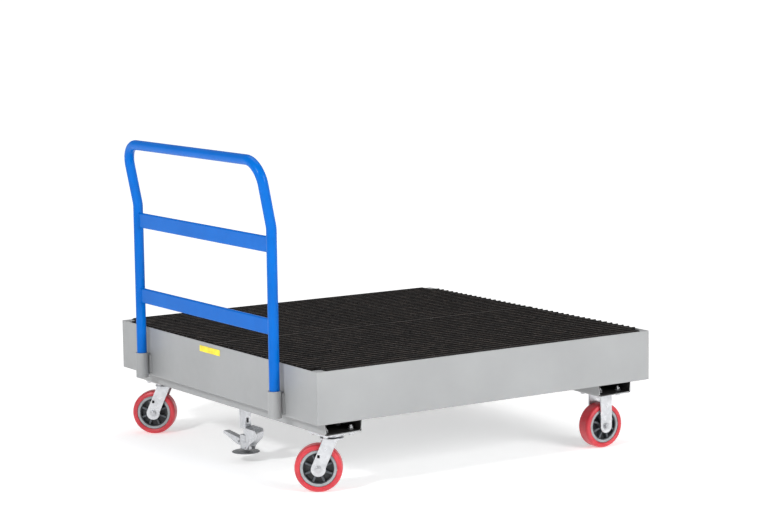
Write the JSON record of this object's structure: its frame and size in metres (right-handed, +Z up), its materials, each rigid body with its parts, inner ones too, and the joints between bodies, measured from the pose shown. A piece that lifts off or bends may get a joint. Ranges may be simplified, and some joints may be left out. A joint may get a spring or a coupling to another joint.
{
  "type": "spill containment drum dolly",
  "caption": "Low square push dolly for drums: sump tank with lift-out bar grating, tall tubular push handle, swivel and rigid casters and a foot-operated floor lock.",
  "frame": {"origin": "on the floor, under the middle of the whole object's length and width", "axes": "+X along the deck from the push handle to the far end, +Y to the operator's left, +Z up"},
  "size_m": [1.382, 1.2954, 1.0418],
  "materials": {
    "tank_floor": "grey enamel, satin",
    "tank_wall_handle_end": "grey enamel, satin",
    "tank_wall_far_end": "grey enamel, satin",
    "tank_wall_left": "grey enamel, satin",
    "tank_wall_right": "grey enamel, satin",
    "corner_plate_handle_right": "grey enamel, satin",
    "corner_plate_handle_left": "grey enamel, satin",
    "corner_plate_far_right": "grey enamel, satin",
    "corner_plate_far_left": "grey enamel, satin",
    "grate_ledge_handle_end": "grey enamel, satin",
    "grate_ledge_far_end": "grey enamel, satin",
    "support_beam_handle_side": "grey enamel, satin",
    "support_beam_far_side": "grey enamel, satin",
    "bolster_handle_end": "grey enamel, satin",
    "bolster_far_end": "grey enamel, satin",
    "handle_socket_right": "grey enamel, satin",
    "handle_socket_left": "grey enamel, satin",
    "socket_bracket_right": "grey enamel, satin",
    "socket_bracket_left": "grey enamel, satin",
    "face_label": "plain yellow film",
    "swivel_caster_right_plate": "bright zinc plate",
    "swivel_caster_right_race": "bright zinc plate",
    "swivel_caster_right_kingpin": "bright zinc plate",
    "swivel_caster_left_plate": "bright zinc plate",
    "swivel_caster_left_race": "bright zinc plate",
    "swivel_caster_left_kingpin": "bright zinc plate",
    "rigid_caster_right_fork": "bright zinc plate",
    "rigid_caster_right_axle": "bright zinc plate",
    "rigid_caster_left_fork": "bright zinc plate",
    "rigid_caster_left_axle": "bright zinc plate",
    "lock_housing": "bright zinc plate",
    "lock_spring": "bright zinc plate",
    "handle_tube": "blue enamel, gloss",
    "handle_crossbar_upper": "blue enamel, gloss",
    "handle_crossbar_lower": "blue enamel, gloss",
    "grating_panel_right": "black enamel, satin",
    "grating_panel_left": "black enamel, satin",
    "swivel_caster_right_fork": "bright zinc plate",
    "swivel_caster_right_axle": "bright zinc plate",
    "swivel_caster_left_fork": "bright zinc plate",
    "swivel_caster_left_axle": "bright zinc plate",
    "swivel_caster_right_wheel_core": "dark grey moulded core, matt",
    "swivel_caster_right_wheel_tread": "red cast polyurethane, satin",
    "swivel_caster_left_wheel_core": "dark grey moulded core, matt",
    "swivel_caster_left_wheel_tread": "red cast polyurethane, satin",
    "rigid_caster_right_wheel_core": "dark grey moulded core, matt",
    "rigid_caster_right_wheel_tread": "red cast polyurethane, satin",
    "rigid_caster_left_wheel_core": "dark grey moulded core, matt",
    "rigid_caster_left_wheel_tread": "red cast polyurethane, satin",
    "lock_plunger": "bright zinc plate",
    "lock_pad": "bright zinc plate",
    "lock_sole": "matt black",
    "lock_pedal_pin": "bright zinc plate",
    "lock_release_pin": "bright zinc plate",
    "lock_pedal": "bright zinc plate",
    "lock_release_lever": "bright zinc plate"
  },
  "bodies": {
    "dolly": {"tank_floor": "tank_floor", "tank_wall_handle_end": "tank_wall_handle_end", "tank_wall_far_end": "tank_wall_far_end", "tank_wall_left": "tank_wall_left", "tank_wall_right": "tank_wall_right", "corner_plate_handle_right": "corner_plate_handle_right", "corner_plate_handle_left": "corner_plate_handle_left", "corner_plate_far_right": "corner_plate_far_right", "corner_plate_far_left": "corner_plate_far_left", "grate_ledge_handle_end": "grate_ledge_handle_end", "grate_ledge_far_end": "grate_ledge_far_end", "support_beam_handle_side": "support_beam_handle_side", "support_beam_far_side": "support_beam_far_side", "bolster_handle_end": "bolster_handle_end", "bolster_far_end": "bolster_far_end", "handle_socket_right": "handle_socket_right", "handle_socket_left": "handle_socket_left", "socket_bracket_right": "socket_bracket_right", "socket_bracket_left": "socket_bracket_left", "face_label": "face_label", "swivel_caster_right_plate": "swivel_caster_right_plate", "swivel_caster_right_race": "swivel_caster_right_race", "swivel_caster_right_kingpin": "swivel_caster_right_kingpin", "swivel_caster_left_plate": "swivel_caster_left_plate", "swivel_caster_left_race": "swivel_caster_left_race", "swivel_caster_left_kingpin": "swivel_caster_left_kingpin", "rigid_caster_right_fork": "rigid_caster_right_fork", "rigid_caster_right_axle": "rigid_caster_right_axle", "rigid_caster_left_fork": "rigid_caster_left_fork", "rigid_caster_left_axle": "rigid_caster_left_axle", "lock_housing": "lock_housing", "lock_spring": "lock_spring"},
    "push_handle": {"handle_tube": "handle_tube", "handle_crossbar_upper": "handle_crossbar_upper", "handle_crossbar_lower": "handle_crossbar_lower"},
    "grating_right": {"grating_panel_right": "grating_panel_right"},
    "grating_left": {"grating_panel_left": "grating_panel_left"},
    "swivel_yoke_right": {"swivel_caster_right_fork": "swivel_caster_right_fork", "swivel_caster_right_axle": "swivel_caster_right_axle"},
    "swivel_yoke_left": {"swivel_caster_left_fork": "swivel_caster_left_fork", "swivel_caster_left_axle": "swivel_caster_left_axle"},
    "swivel_wheel_right": {"swivel_caster_right_wheel_core": "swivel_caster_right_wheel_core", "swivel_caster_right_wheel_tread": "swivel_caster_right_wheel_tread"},
    "swivel_wheel_left": {"swivel_caster_left_wheel_core": "swivel_caster_left_wheel_core", "swivel_caster_left_wheel_tread": "swivel_caster_left_wheel_tread"},
    "rigid_wheel_right": {"rigid_caster_right_wheel_core": "rigid_caster_right_wheel_core", "rigid_caster_right_wheel_tread": "rigid_caster_right_wheel_tread"},
    "rigid_wheel_left": {"rigid_caster_left_wheel_core": "rigid_caster_left_wheel_core", "rigid_caster_left_wheel_tread": "rigid_caster_left_wheel_tread"},
    "lock_foot": {"lock_plunger": "lock_plunger", "lock_pad": "lock_pad", "lock_sole": "lock_sole", "lock_pedal_pin": "lock_pedal_pin", "lock_release_pin": "lock_release_pin"},
    "lock_tread": {"lock_pedal": "lock_pedal"},
    "lock_release": {"lock_release_lever": "lock_release_lever"}
  },
  "joints": [
    {"name": "swivel_right", "type": "hinge", "parent": "dolly", "child": "swivel_yoke_right", "pos_m": [-0.50265, -0.56388, 0.165], "axis": [0, 0, 1], "continuous": true},
    {"name": "swivel_wheel_right_roll", "type": "hinge", "parent": "swivel_yoke_right", "child": "swivel_wheel_right", "pos_m": [-0.53747, -0.54039, 0.07493], "axis": [-0.5592, -0.829, 0], "continuous": true},
    {"name": "rigid_wheel_right_roll", "type": "hinge", "parent": "dolly", "child": "rigid_wheel_right", "pos_m": [0.56415, -0.5461, 0.07493], "axis": [0, 1, 0], "continuous": true},
    {"name": "swivel_left", "type": "hinge", "parent": "dolly", "child": "swivel_yoke_left", "pos_m": [-0.49503, 0.53848, 0.165], "axis": [0, 0, 1], "continuous": true},
    {"name": "swivel_wheel_left_roll", "type": "hinge", "parent": "swivel_yoke_left", "child": "swivel_wheel_left", "pos_m": [-0.5272, 0.56548, 0.07493], "axis": [-0.6428, -0.766, 0], "continuous": true},
    {"name": "rigid_wheel_left_roll", "type": "hinge", "parent": "dolly", "child": "rigid_wheel_left", "pos_m": [0.56415, 0.5461, 0.07493], "axis": [0, 1, 0], "continuous": true},
    {"name": "handle_lift_out", "type": "slide", "parent": "dolly", "child": "push_handle", "axis": [0, 0, 1], "range_m": [0, 0.085]},
    {"name": "grating_right_lift_out", "type": "slide", "parent": "dolly", "child": "grating_right", "axis": [0, 0, 1], "range_m": [0, 0.15]},
    {"name": "grating_left_lift_out", "type": "slide", "parent": "dolly", "child": "grating_left", "axis": [0, 0, 1], "range_m": [0, 0.15]},
    {"name": "lock_foot_drop", "type": "slide", "parent": "dolly", "child": "lock_foot", "axis": [0, 0, -1], "range_m": [0, 0.03], "stiffness_N_per_m": 400, "springref_m": -0.06, "deforming": ["lock_spring"]},
    {"name": "lock_pedal_hinge", "type": "hinge", "parent": "lock_foot", "child": "lock_tread", "pos_m": [-0.50519, -0.052, 0.05], "axis": [1, 0, 0], "range_deg": [0, 12]},
    {"name": "lock_release_hinge", "type": "hinge", "parent": "lock_foot", "child": "lock_release", "pos_m": [-0.50519, 0, 0.062], "axis": [-1, 0, 0], "range_deg": [0, 12], "stiffness_Nm_per_rad": 0.6, "springref_deg": -34.38}
  ],
  "couplings": [
    {"joint": "lock_pedal_hinge", "follows": "lock_foot_drop", "rad_per_m": 6.9}
  ]
}
